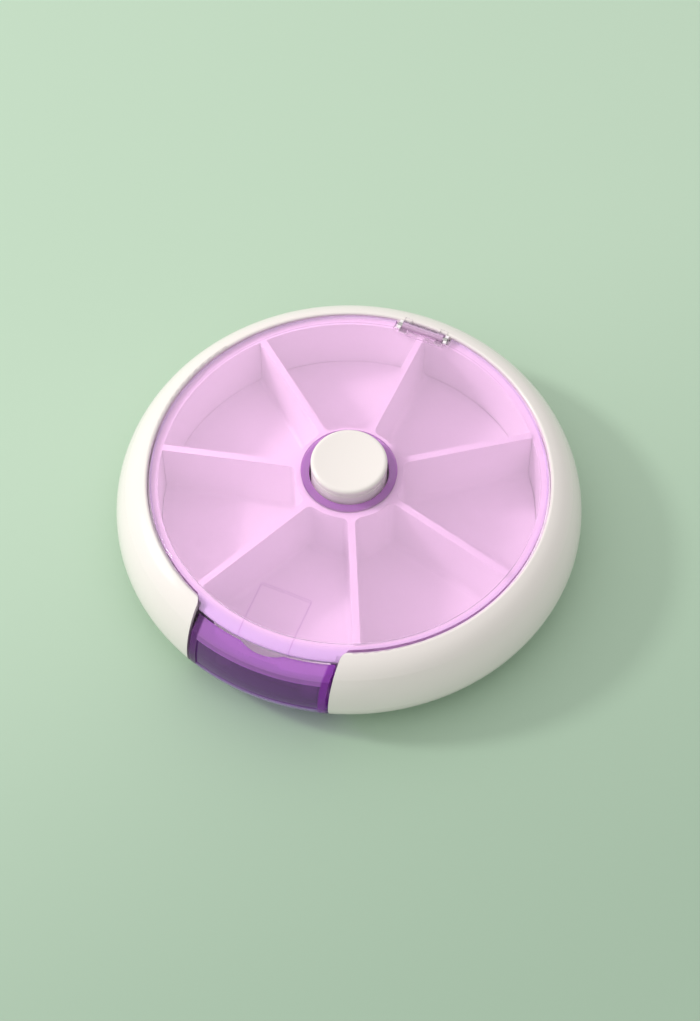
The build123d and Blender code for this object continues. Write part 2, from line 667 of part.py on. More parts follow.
def splined_bar(gap, length):
    """The spindle's ribbed section, grown by a gap for the hole that slides on it."""
    plan = Circle(SPINDLE_RADIUS + gap)
    for rib in range(SPLINE_COUNT):
        bar = Pos(SPLINE_RADIUS / 2, 0) * Rectangle(SPLINE_RADIUS + 2 * gap, SPLINE_WIDTH + 2 * gap)
        plan += Rot(0, 0, 90 + 360 / SPLINE_COUNT * rib) * bar
    return extrude(plan, length)


def make_button_cap():
    """A dished cap whose spigot plugs into the plunger."""
    section = strip(0, BUTTON_RADIUS, CAP_BOTTOM, BUTTON_TOP)
    spigot = SLEEVE_OUTER - 0.05
    section += strip(spigot - SPIGOT_WALL, spigot, CAP_BOTTOM - SPIGOT_LENGTH, CAP_BOTTOM)
    section = fillet(top_corner(section, BUTTON_RADIUS), CAP_ROUNDING)
    lower = [v for v in section.vertices() if abs(v.Y - CAP_BOTTOM) < 0.01]
    section = chamfer(max(lower, key=lambda v: v.X), GROOVE_DEPTH)
    cap = turned(section)
    dish = BUTTON_RADIUS - CAP_ROUNDING - 0.2
    dish_radius = (dish * dish + CAP_DISH * CAP_DISH) / (2 * CAP_DISH)
    return cap - Pos(0, 0, BUTTON_TOP - CAP_DISH + dish_radius) * Sphere(dish_radius)


def make_spindle():
    """The fixed post that keys the plunger and carries the driver and the spring."""
    post = disc(SPINDLE_RADIUS, SEAT_HEIGHT + 0.1, SPINDLE_TOP)
    post += Pos(0, 0, SPRING_SEAT) * splined_bar(0, SPINDLE_TOP - SPRING_SEAT)
    post += hexagon(SPINDLE_HEX / 2, COLLAR_TOP - 1.0, COLLAR_TOP)
    post += disc(DRIVER_BORE - RUNNING_FIT, COLLAR_TOP, SPRING_SEAT)
    post -= disc(SCREW_CORE, 0, SEAT_HEIGHT + SCREW_LENGTH + 0.2)
    post -= disc(SCREW_CORE, SPINDLE_TOP - SCREW_LENGTH - 0.2, SPINDLE_TOP + 1)
    return post


def make_retaining_washer():
    return tube(SCREW_CORE + 0.1, STOP_WASHER_RADIUS, SPINDLE_TOP, SPINDLE_TOP + STOP_WASHER_THICKNESS)


def make_retaining_screw():
    seat = SPINDLE_TOP + STOP_WASHER_THICKNESS
    return screw(seat, seat + SCREW_HEAD_HEIGHT, SPINDLE_TOP - SCREW_LENGTH)


def spring_point(angle, low, rise):
    """A point on the coil and the wire's direction there."""
    place = Vector(SPRING_RADIUS * math.cos(angle), SPRING_RADIUS * math.sin(angle), low + rise * angle)
    heading = Vector(-SPRING_RADIUS * math.sin(angle), SPRING_RADIUS * math.cos(angle), rise)
    return place, heading.normalized()


def biarc(start, start_heading, end, end_heading):
    """Two tangent arcs between two points with given directions."""
    chord = end - start
    headings = start_heading + end_heading
    spread = 2 * (1 - start_heading.dot(end_heading))
    along = chord.dot(headings)
    reach = (math.sqrt(along * along + spread * chord.dot(chord)) - along) / spread
    joint = (start + end + (start_heading - end_heading) * reach) / 2
    first = Edge.make_tangent_arc(start, start_heading, joint)
    second = Edge.make_tangent_arc(joint, first % 1, end)
    return [first, second]


def coil_gap(path):
    """The least gap between points of the wire that are half a turn or more apart."""
    count = 24 * SPRING_TURNS
    points = [path @ (step / count) for step in range(count + 1)]
    apart = [
        (points[second] - points[first]).length
        for first in range(count + 1)
        for second in range(first + 12, count + 1)
    ]
    return min(apart) - 2 * SPRING_WIRE


def make_return_spring():
    """An open coil between the driver's collar and the plunger's web."""
    low = SPRING_SEAT + SPRING_WIRE + 0.02
    high = WEB_BOTTOM - SPRING_WIRE - 0.02
    rise = (high - low) / (2 * math.pi * SPRING_TURNS)
    steps = 4 * SPRING_TURNS
    edges = []
    for step in range(steps):
        start, start_heading = spring_point(math.pi / 2 * step, low, rise)
        end, end_heading = spring_point(math.pi / 2 * (step + 1), low, rise)
        edges += biarc(start, start_heading, end, end_heading)
    path = Wire(edges)
    print("return spring: least gap to itself", round(coil_gap(path), 2), "mm")
    section = Plane(origin=path @ 0, z_dir=path % 0) * RegularPolygon(SPRING_WIRE, WIRE_SIDES)
    return sweep(section, path=path)


def make_chute_door():
    """A tilting bin: an outer skin flush with the ring, two end walls and hinge barrels."""
    half = DOOR_HALF_WIDTH
    inboard = DOOR_AXIS_OFFSET - 1.0
    outside = turned(egg_section(0)) & block(-half, half, -BELLY_RADIUS - 1, -inboard, 0, CROWN_HEIGHT)
    cheek = half - DOOR_WALL
    hollow = turned(egg_section(DOOR_WALL)) & front_slice(cheek)
    door = outside - hollow
    door -= disc(DOOR_EDGE_RADIUS, WINDOW_TOP, CROWN_HEIGHT)
    door -= block(-cheek, cheek, -DOOR_AXIS_OFFSET - DOOR_LIP_INSET, 0, 0, CROWN_HEIGHT)
    for side in (-1, 1):
        low, high = sorted((side * DOOR_BARREL_START, side * half))
        door += rod(DOOR_BARREL_RADIUS, low, high, -DOOR_AXIS_OFFSET, DOOR_AXIS_HEIGHT)
        near = DOOR_BARREL_START - 2 * HINGE_SIDE_GAP - DOOR_EAR_WIDTH
        low, high = sorted((side * near, side * DOOR_BARREL_START))
        clear = DOOR_BARREL_RADIUS + 0.3
        door -= rod(clear, low, high, -DOOR_AXIS_OFFSET, DOOR_AXIS_HEIGHT)
    notch = THUMB_NOTCH_WIDTH / 2
    door -= block(-notch, notch, -DOOR_EDGE_RADIUS - THUMB_NOTCH_DEPTH, 0, SHELF_BOTTOM, CROWN_HEIGHT)
    return door - rod(DOOR_PIN_RADIUS + RUNNING_FIT, -half - 1, half + 1, -DOOR_AXIS_OFFSET, DOOR_AXIS_HEIGHT)


def make_door_hinge_pin():
    return rod(DOOR_PIN_RADIUS, -DOOR_HALF_WIDTH, DOOR_HALF_WIDTH, -DOOR_AXIS_OFFSET, DOOR_AXIS_HEIGHT)


MAKERS = {
    "outer_ring": make_outer_ring,
    "base_cover": make_base_cover,
    "base_screw": make_base_screw,
    "inner_drum": make_inner_drum,
    "thrust_washer": make_thrust_washer,
    "detent_spring": make_detent_spring,
    "spindle": make_spindle,
    "retaining_washer": make_retaining_washer,
    "retaining_screw": make_retaining_screw,
    "pill_rotor": make_pill_rotor,
    "ratchet_ring": make_ratchet_ring,
    "pawl_ring": make_pawl_ring,
    "cam_driver": make_cam_driver,
    "return_spring": make_return_spring,
    "button_plunger": make_button_plunger,
    "button_cap": make_button_cap,
    "lid": make_lid,
    "lid_hinge_pin": make_lid_hinge_pin,
    "chute_door": make_chute_door,
    "door_hinge_pin": make_door_hinge_pin,
}

for name, maker in MAKERS.items():
    part = maker()
    part.label = name
    export_step(part, "parts/" + name + ".step")
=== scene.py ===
import math

import bmesh
import bpy
from bpy.props import FloatProperty, FloatVectorProperty, IntProperty, PointerProperty
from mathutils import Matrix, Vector


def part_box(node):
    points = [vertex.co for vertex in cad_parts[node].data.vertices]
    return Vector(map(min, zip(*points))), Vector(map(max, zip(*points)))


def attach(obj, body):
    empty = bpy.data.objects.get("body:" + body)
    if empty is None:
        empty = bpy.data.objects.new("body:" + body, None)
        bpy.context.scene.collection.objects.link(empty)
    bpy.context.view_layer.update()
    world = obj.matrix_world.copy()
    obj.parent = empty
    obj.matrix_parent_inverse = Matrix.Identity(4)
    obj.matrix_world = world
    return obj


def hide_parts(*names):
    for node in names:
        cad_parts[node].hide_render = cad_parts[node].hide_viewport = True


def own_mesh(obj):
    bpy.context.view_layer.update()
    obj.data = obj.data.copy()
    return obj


bl_info = {
    "name": "Round Pill Organizer",
    "version": (1, 0, 0),
    "blender": (4, 5, 0),
    "location": "View3D > Sidebar > Organizer",
    "description": "Finishes for a push-button pill organizer with a clear lid, and its studio",
    "category": "Object",
}

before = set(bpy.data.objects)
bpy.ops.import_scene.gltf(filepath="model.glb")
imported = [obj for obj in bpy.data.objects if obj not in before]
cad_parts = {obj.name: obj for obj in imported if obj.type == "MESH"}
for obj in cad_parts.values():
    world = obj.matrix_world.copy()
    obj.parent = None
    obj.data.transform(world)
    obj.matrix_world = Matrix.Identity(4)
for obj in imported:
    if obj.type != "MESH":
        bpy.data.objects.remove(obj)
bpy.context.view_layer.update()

MM = 0.001


# Sizes in millimetres, at the CAD model's places: an outline is a list of (radius, height) points

DRUM_TOP = 17.28
DRUM_LIP = [(39.0, 16.8), (40.44, 16.8), (40.44, DRUM_TOP), (39.0, DRUM_TOP)]
TAB_SHELF = [(39.3, 15.82), (42.0, 15.82), (42.0, 16.38), (40.4, DRUM_TOP), (39.3, DRUM_TOP)]
TAB_SHELF_HALF = 14.7
SHELF_END = [(41.5, 15.0), (46.0, 15.0), (46.0, 18.0), (41.5, 18.0)]
OUTLET_HALF = 15.6
# The drum's cuts at the hinge: the lip's gap for the lid's arm, the ears' inner sides and their tops
HINGE_CUTS = [
    ((-4.6, 39.0, 15.0), (4.6, 41.0, 17.6)),
    ((-4.8, 37.0, 17.3), (-3.2, 41.0, 20.5)),
    ((3.2, 37.0, 17.3), (4.8, 41.0, 20.5)),
    ((-6.0, 37.0, 19.0), (6.0, 41.0, 20.5)),
]

ROTOR_TOP = 17.25
ROTOR_WALL = 37.9
ROTOR_RADIUS = 38.0
SHOWN_ROTOR_RADIUS = 38.3
HUB_RADIUS = 10.9
RIM_RISE = 0.45
FURTHER_HUB_RISE = 1.45

LID_HOLE = 8.0
LEDGE_TOP = [(LID_HOLE, 20.1), (8.12, 20.22), (9.4, 20.24), (9.56, 20.32), (9.66, 20.66), (9.8, 20.7)]
LEDGE_UNDER = [(9.9, 19.45), (LID_HOLE, 19.2)]
DOME_START, DOME_END = 9.8, 39.7
DOME_CENTRE, DOME_SPAN = 9.66, 30.44
DOME_FOOT, DOME_RISE = 19.0, 1.7
DOME_STEPS = 24
LID_WALL = 1.2
WALL_START, WALL_END = 10.8, 38.5
EDGE_ROUND, EDGE_HEIGHT = 0.4, 18.62
EDGE_STEPS = 4
LID_FOOT = [(40.1, 17.8), (WALL_END, 17.8)]
TAB = [(39.2, 17.82), (40.4, 17.8), (41.9, 17.0), (41.9, 17.75), (41.75, 17.9), (39.9, 18.88), (39.2, 18.92)]
TAB_HALF = 14.75
TAB_FLARE = 1.1
FLARE_START, FLARE_LENGTH = 42.0, 1.9
HINGE_NOTCH = ((-6.15, 37.4, 15.0), (6.15, 42.0, 22.0))
HINGE_ARM = ((-4.5, 36.9, 17.85), (4.5, 38.9, 18.95))
HINGE_Y, HINGE_Z = 38.9, 18.7
HINGE_BAR, HINGE_BAR_HALF = 1.05, 4.5
HINGE_BORE, HINGE_BORE_HALF = 0.56, 5.5

DOOR_SHELF = [(42.2, 15.8), (44.6, 14.8), (45.2, 15.3), (42.2, 16.6)]
DOOR_SHELF_HALF = 14.4
ABOVE_DOOR = [(41.8, 16.75), (45.35, 15.25), (48.0, 14.9), (48.0, 21.0), (41.8, 21.0)]
ABOVE_DOOR_HALF = 16.0
SCOOP_RADIUS, SCOOP_Y = 9.33, -33.8
SCOOP_LOW, SCOOP_TOP = 14.0, 21.0
SCOOP_STEPS = 128
BELLY_HEIGHT = 8.0
# The centre's radius and the squared radius of the ring's arc above its belly, and of the arc below
UPPER_ARC = (33.586, 193.6)
LOWER_ARC = (41.055, 41.54)
WINDOW_LOW, WINDOW_TOP = 7.3, 14.3
WINDOW_HEIGHTS = (WINDOW_LOW, 7.6, 8.0, 9.5, 11.0, 12.4, 13.6, WINDOW_TOP)
WINDOW_HALF = 13.0
WINDOW_DEPTH = 0.3
WINDOW_COLUMNS = 36
PAST_SKIN = 1.5

BASE_HEAD, RETAINING_HEAD = 0.9, 1.2
SCREW_CORE = 0.68
RECESS_DEPTH = 0.6
RECESS_REACH, RECESS_HALF, RECESS_FOOT = 1.15, 0.24, 0.5
THREAD_RADIUS, THREAD_WIRE = 0.66, 0.13
# How far above the shank's lower end the thread starts, and by how much it is shorter than the shank
THREAD_START, THREAD_LOSS = 0.35, 0.9


# The stage's fixed values: distances in metres, the floor's turn in radians, the lamp's in degrees

FLOOR_HALF = 3.0
# Painted shade on the floor: its colour ramps from the darker near tone to the lighter far one over this
# span of depth, along a line turned by FLOOR_FADE_TURN
FLOOR_FADE = (-0.13, 0.06)
FLOOR_FADE_TURN = 0.44
# The fill's bright side, as steps right of the camera, away from it and up
FILL_TOWARDS = (-0.5, 0.25, 0.83)
FILL_DIM, FILL_BRIGHT = 0.2, 1.28
KEY_TURN, KEY_RISE = 168, 37
KEY_DISTANCE, KEY_SIZE = 0.95, 0.14


# Settings that a user would change


class PlasticSettings(bpy.types.PropertyGroup):
    white: FloatVectorProperty(
        name="Case White",
        description="Colour of the moulded ring, base and button",
        subtype="COLOR",
        size=4,
        min=0,
        max=1,
        default=(0.90, 0.85, 0.825, 1),
    )
    # Painted light: the drum and compartment white is brighter than the case white, to lift the compartments
    # under the lid
    lit_inner_white: FloatVectorProperty(
        name="Inner White",
        description="Colour of the drum and the turning compartments",
        subtype="COLOR",
        size=4,
        min=0,
        max=1,
        default=(0.95, 0.935, 0.94, 1),
    )
    lid_tint: FloatVectorProperty(
        name="Lid Tint",
        description="What the clear lid lets through",
        subtype="COLOR",
        size=4,
        min=0,
        max=1,
        default=(0.985, 0.775, 0.98, 1),
    )
    lid_deep: FloatVectorProperty(
        name="Lid Edge Tint",
        description="Deeper tint of the lid's rim and of the ledge round the button",
        subtype="COLOR",
        size=4,
        min=0,
        max=1,
        default=(0.62, 0.30, 0.72, 1),
    )
    door_tint: FloatVectorProperty(
        name="Door Tint",
        description="What the clear chute door lets through",
        subtype="COLOR",
        size=4,
        min=0,
        max=1,
        default=(0.25, 0.10, 0.34, 1),
    )
    # Painted light: the door's upper ledge is given a lighter tint, as lit from above
    door_ledge_lit: FloatVectorProperty(
        name="Door Ledge",
        description="Lighter tint of the door's upper ledge",
        subtype="COLOR",
        size=4,
        min=0,
        max=1,
        default=(0.64, 0.26, 0.80, 1),
    )
    # Painted light: the band below the window is given a lighter tint, for the bright floor seen through the
    # door's lower edge
    door_band_lit: FloatVectorProperty(
        name="Door Frame",
        description="Tint of the band below the door's window",
        subtype="COLOR",
        size=4,
        min=0,
        max=1,
        default=(0.58, 0.43, 0.76, 1),
    )
    door_end: FloatVectorProperty(
        name="Door Ends",
        description="Saturated tint that the thick end walls of the door show",
        subtype="COLOR",
        size=4,
        min=0,
        max=1,
        default=(0.42, 0.05, 0.62, 1),
    )
    acetal: FloatVectorProperty(
        name="Drive Plastic",
        description="Colour of the hard plastic of the turning drive",
        subtype="COLOR",
        size=4,
        min=0,
        max=1,
        default=(0.72, 0.71, 0.67, 1),
    )
    steel: FloatVectorProperty(
        name="Steel",
        description="Colour of springs, screws and pins",
        subtype="COLOR",
        size=4,
        min=0,
        max=1,
        default=(0.55, 0.55, 0.54, 1),
    )
    roughness: FloatProperty(
        name="White Roughness",
        description="Gloss of the white plastic, from mirror to matt",
        min=0,
        max=1,
        subtype="FACTOR",
        default=0.2,
    )
    grain: FloatProperty(
        name="Mould Grain",
        description="Size of the finest grain that the mould leaves",
        min=0.00005,
        max=0.005,
        precision=5,
        subtype="DISTANCE",
        unit="LENGTH",
        default=0.00035,
    )


class CoilSettings(bpy.types.PropertyGroup):
    wire: FloatProperty(
        name="Wire Radius",
        description="Radius of the return spring's wire",
        min=0.0001,
        max=0.001,
        precision=5,
        subtype="DISTANCE",
        unit="LENGTH",
        default=0.0003,
    )
    turns: FloatProperty(
        name="Turns",
        description="Turns of the return spring",
        min=1,
        max=20,
        default=5,
    )
    pitch: FloatProperty(
        name="Thread Pitch",
        description="Rise of a screw's thread in one turn",
        min=0.0002,
        max=0.002,
        precision=5,
        subtype="DISTANCE",
        unit="LENGTH",
        default=0.0006,
    )
    sides: IntProperty(
        name="Wire Sides",
        description="Faces round the wire",
        min=6,
        max=32,
        default=14,
    )


class StageSettings(bpy.types.PropertyGroup):
    azimuth: FloatProperty(
        name="Azimuth",
        description="How far round from the outlet the camera stands",
        subtype="ANGLE",
        unit="ROTATION",
        default=math.radians(23.5),
    )
    elevation: FloatProperty(
        name="Elevation",
        description="How steeply the camera looks down",
        subtype="ANGLE",
        unit="ROTATION",
        default=0.995,
    )
    distance: FloatProperty(
        name="Distance",
        description="From the camera to the middle of the organizer",
        min=0.1,
        max=3,
        subtype="DISTANCE",
        unit="LENGTH",
        default=0.448,
    )
    aim_height: FloatProperty(
        name="Aim Height",
        description="Height of the point that the camera is placed by",
        subtype="DISTANCE",
        unit="LENGTH",
        default=0.014,
    )
    tilt: FloatProperty(
        name="Tilt",
        description="Turn of the camera down from that point",
        subtype="ANGLE",
        unit="ROTATION",
        default=0.0103,
    )
    pan: FloatProperty(
        name="Pan",
        description="Turn of the camera right from that point",
        subtype="ANGLE",
        unit="ROTATION",
        default=0.0008,
    )
    lens: FloatProperty(
        name="Lens",
        description="Focal length in millimetres on a 36 mm sensor",
        min=10,
        max=300,
        default=78.0,
    )
    floor_far: FloatVectorProperty(
        name="Floor Far",
        description="Colour of the floor behind the organizer",
        subtype="COLOR",
        size=4,
        min=0,
        max=1,
        default=(0.49, 0.655, 0.505, 1),
    )
    # Painted shade: the floor's near colour is darker than its far one
    floor_near_shaded: FloatVectorProperty(
        name="Floor Near",
        description="Colour of the floor in front of the organizer",
        subtype="COLOR",
        size=4,
        min=0,
        max=1,
        default=(0.35, 0.49, 0.37, 1),
    )
    key_power: FloatProperty(
        name="Key Power",
        description="Power of the soft light on the left",
        min=0,
        max=200,
        unit="POWER",
        default=3.1,
    )
    fill: FloatProperty(
        name="Fill",
        description="Strength of the even light from all round",
        min=0,
        max=3,
        subtype="FACTOR",
        default=0.82,
    )


# Materials


def material(name):
    """An empty node material with its output."""
    made = bpy.data.materials.new(name)
    made.use_nodes = True
    made.node_tree.nodes.clear()
    return made, made.node_tree


def node(tree, kind, **values):
    """A node with its sockets set: a value is a number, a colour or another node's output."""
    made = tree.nodes.new(kind)
    for key, value in values.items():
        socket = made.inputs[key.replace("_", " ")]
        if isinstance(value, bpy.types.NodeSocket):
            tree.links.new(value, socket)
        else:
            socket.default_value = value
    return made


def maths(tree, operation, first, second=0.0, third=0.0):
    """The result of one Math node."""
    made = tree.nodes.new("ShaderNodeMath")
    made.operation = operation
    for socket, value in zip(made.inputs, (first, second, third)):
        if isinstance(value, bpy.types.NodeSocket):
            tree.links.new(value, socket)
        else:
            socket.default_value = value
    return made.outputs[0]


def mixed(tree, factor, first, second):
    """A colour between two colours. A Mix node's colour sockets share their names with its other ones."""
    made = tree.nodes.new("ShaderNodeMix")
    made.data_type = "RGBA"
    factor_socket, first_socket, second_socket, colour_output = 0, 6, 7, 2
    for index, value in ((factor_socket, factor), (first_socket, first), (second_socket, second)):
        if isinstance(value, bpy.types.NodeSocket):
            tree.links.new(value, made.inputs[index])
        else:
            made.inputs[index].default_value = value
    return made.outputs[colour_output]


def noise(tree, place, size, detail=2.0, roughness=0.5):
    """A cloudy pattern whose blotches are about as large as size, in metres."""
    scale = 1 / size
    made = node(tree, "ShaderNodeTexNoise", Vector=place, Scale=scale, Detail=detail, Roughness=roughness)
    return made.outputs["Fac"]


def spread(tree, value, low, high):
    """A 0 to 1 value spread over another range."""
    return node(tree, "ShaderNodeMapRange", Value=value, To_Min=low, To_Max=high).outputs["Result"]


def bump(tree, height, distance, strength):
    """The normal of a surface with a height over it."""
    made = node(tree, "ShaderNodeBump", Height=height, Distance=distance, Strength=strength)
    return made.outputs["Normal"]


def object_place(tree):
    """The place on the piece, in metres."""
    return tree.nodes.new("ShaderNodeTexCoord").outputs["Object"]


def shaded(colour, share):
    """A colour with its red, green and blue multiplied by a share, or by a share each."""
    shares = share if isinstance(share, tuple) else (share,) * 3
    return tuple(channel * part for channel, part in zip(colour[:3], shares)) + (1,)


def white_plastic(name, colour, settings, roughness=None, mottle=0.02, depth=0.000003):
    """Moulded white plastic: faint flow mottling, uneven gloss and a fine mould grain."""
    made, tree = material(name)
    place = object_place(tree)
    rough = settings.roughness if roughness is None else roughness
    flow = noise(tree, place, size=0.018, detail=3.0)
    fine = noise(tree, place, size=settings.grain, detail=3.0, roughness=0.6)
    tone = mixed(tree, flow, shaded(colour, 1 - 2 * mottle), colour)
    wide_gloss = spread(tree, flow, rough - 0.05, rough + 0.05)
    fine_gloss = spread(tree, fine, -0.04, 0.04)
    wave_share = 2.5
    waves = maths(tree, "MULTIPLY_ADD", noise(tree, place, size=0.006, detail=1.0), wave_share, fine)
    shader = node(
        tree,
        "ShaderNodeBsdfPrincipled",
        Base_Color=tone,
        Roughness=maths(tree, "ADD", wide_gloss, fine_gloss),
        IOR=1.5,
        Normal=bump(tree, waves, depth, strength=0.6),
    )
    node(tree, "ShaderNodeOutputMaterial", Surface=shader.outputs[0])
    return made


def clear_plastic(name, tint, roughness, body, zones):
    """Clear tinted plastic: faint waves from the mould, hairlines, and lamps shine through it.

    The body value is the share of cloudy colour in it. The zones function gives, from the place on the
    piece, its tint, the extra height of marks and where it is cloudier.
    """
    made, tree = material(name)
    place = object_place(tree)
    waves = noise(tree, place, size=0.012, detail=1.0)
    hair = node(tree, "ShaderNodeTexNoise", Vector=place, Scale=900.0, Detail=2.0, Distortion=1.5)
    hair_share = 0.008
    tone, mark, cloudy = zones(tree, place)
    height = maths(tree, "MULTIPLY_ADD", hair.outputs["Fac"], hair_share, maths(tree, "ADD", waves, mark))
    extra_cloud = 0.4
    shader = node(
        tree,
        "ShaderNodeBsdfPrincipled",
        Base_Color=tone,
        Roughness=spread(tree, waves, roughness * 0.6, roughness * 1.6),
        IOR=1.45,
        Transmission_Weight=maths(tree, "MULTIPLY_ADD", cloudy, -extra_cloud, 1.0 - body),
        Normal=bump(tree, height, 0.00004, strength=0.35),
    )
    lamps = tree.nodes.new("ShaderNodeLightPath").outputs["Is Shadow Ray"]
    one_wall = tuple(math.sqrt(c) for c in tint[:3]) + (1,)
    through = node(tree, "ShaderNodeBsdfTransparent", Color=one_wall)
    both = tree.nodes.new("ShaderNodeMixShader")
    tree.links.new(lamps, both.inputs[0])
    tree.links.new(shader.outputs[0], both.inputs[1])
    tree.links.new(through.outputs[0], both.inputs[2])
    node(tree, "ShaderNodeOutputMaterial", Surface=both.outputs[0])
    return made


def between(tree, value, low, high):
    """1 where a value lies between two limits."""
    above = maths(tree, "GREATER_THAN", value, low)
    below = maths(tree, "LESS_THAN", value, high)
    return maths(tree, "MULTIPLY", above, below)


def lid_zones(settings):
    """The lid's deep rim, its ledge round the button, its tab darkened and cooled with painted shade, and
    the mark of the latch pad.
    """
    steep = 0.35
    rim_start, rim_end = 39.2 * MM, 40.3 * MM
    tab_start = 39.6 * MM
    ledge_end = 9.7 * MM
    # Painted shade: the tab's tint is made darker and cooler than the rest of the lid
    tab_shade_shares = (0.86, 0.86, 0.96)
    mark_shade, mark_height = 0.4, 2.2

    def zones(tree, place):
        side = tree.nodes.new("ShaderNodeTexCoord").outputs["Normal"]
        upright = node(tree, "ShaderNodeSeparateXYZ", Vector=side).outputs["Z"]
        split = node(tree, "ShaderNodeSeparateXYZ", Vector=place)
        flat = node(tree, "ShaderNodeCombineXYZ", X=split.outputs["X"], Y=split.outputs["Y"])
        radius = tree.nodes.new("ShaderNodeVectorMath")
        radius.operation = "LENGTH"
        tree.links.new(flat.outputs[0], radius.inputs[0])
        away = radius.outputs["Value"]
        edge = maths(tree, "LESS_THAN", maths(tree, "ABSOLUTE", upright), steep)
        edge = maths(tree, "MULTIPLY", edge, between(tree, away, rim_start, rim_end))
        ledge = maths(tree, "LESS_THAN", away, ledge_end)
        line = latch_mark(tree, place)
        deep = maths(tree, "MAXIMUM", edge, ledge)
        deep = maths(tree, "MAXIMUM", deep, maths(tree, "MULTIPLY", line, mark_shade))
        on_tab = maths(tree, "GREATER_THAN", away, tab_start)
        # The tab takes the lid's tint darkened with painted shade
        tone = mixed(tree, on_tab, settings.lid_tint, shaded(settings.lid_tint, tab_shade_shares))
        tone = mixed(tree, deep, tone, settings.lid_deep)
        return tone, maths(tree, "MULTIPLY", line, mark_height), ledge

    return zones


def latch_mark(tree, place):
    """The faint rectangle that the latch pad leaves in the front of the lid."""
    half_width, half_length = 5.3 * MM, 6.3 * MM
    inward = 36.6 * MM
    half_line = 0.11 * MM
    split = node(tree, "ShaderNodeSeparateXYZ", Vector=place)
    across = maths(tree, "SUBTRACT", maths(tree, "ABSOLUTE", split.outputs["X"]), half_width)
    middle = maths(tree, "ABSOLUTE", maths(tree, "ADD", split.outputs["Y"], inward))
    along = maths(tree, "SUBTRACT", middle, half_length)
    outline = maths(tree, "ABSOLUTE", maths(tree, "MAXIMUM", across, along))
    return maths(tree, "LESS_THAN", outline, half_line)


def door_zones(settings):
    """The door's dark sunk window; its ledge and the band below, lighter with painted light; and its ends,
    the left one darkened with painted shade.
    """
    half = 14.0 * MM
    ends_start, ends_full = 12.9 * MM, 13.3 * MM
    # How much the left end is darkened by painted shade
    left_shade_share = 0.45

    def zones(tree, place):
        split = node(tree, "ShaderNodeSeparateXYZ", Vector=place)
        across = maths(tree, "ABSOLUTE", split.outputs["X"])
        up = split.outputs["Z"]
        window = between(tree, up, WINDOW_LOW * MM, WINDOW_TOP * MM)
        # Painted light: outside the window the door takes the lighter band tint
        tone = mixed(tree, window, settings.door_band_lit, settings.door_tint)
        # Painted light: above the window the door takes the lighter ledge tint
        tone = mixed(tree, maths(tree, "GREATER_THAN", up, WINDOW_TOP * MM), tone, settings.door_ledge_lit)
        side = node(tree, "ShaderNodeMapRange", Value=split.outputs["X"], From_Min=-half, From_Max=half)
        # Painted shade: the left end wall takes a darker copy of the end tint, blending to the full tint at
        # the right end
        left_end_shaded = shaded(settings.door_end, left_shade_share)
        end_tone = mixed(tree, side.outputs["Result"], left_end_shaded, settings.door_end)
        ends = node(tree, "ShaderNodeMapRange", Value=across, From_Min=ends_start, From_Max=ends_full)
        tone = mixed(tree, ends.outputs["Result"], tone, end_tone)
        return tone, 0.0, 0.0

    return zones


def metal(name, colour, roughness):
    """Drawn steel: fine marks and uneven gloss."""
    made, tree = material(name)
    place = object_place(tree)
    marks = noise(tree, place, size=0.0002, detail=3.0, roughness=0.7)
    cloud = noise(tree, place, size=0.002, detail=2.0)
    dull = shaded(colour, 0.8)
    shader = node(
        tree,
        "ShaderNodeBsdfPrincipled",
        Base_Color=mixed(tree, cloud, dull, colour),
        Metallic=1.0,
        Roughness=spread(tree, marks, roughness - 0.08, roughness + 0.12),
        Normal=bump(tree, marks, 0.000006, strength=0.5),
    )
    node(tree, "ShaderNodeOutputMaterial", Surface=shader.outputs[0])
    return made


def dress(names, mat):
    """Give CAD nodes a material."""
    for name in names:
        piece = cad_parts[name]
        piece.data.materials.clear()
        piece.data.materials.append(mat)


# Geometry node trees


def group_input(tree, name, kind, default=None):
    """A named input of a geometry tree."""
    made = tree.interface.new_socket(name=name, in_out="INPUT", socket_type=kind)
    if default is not None:
        made.default_value = default


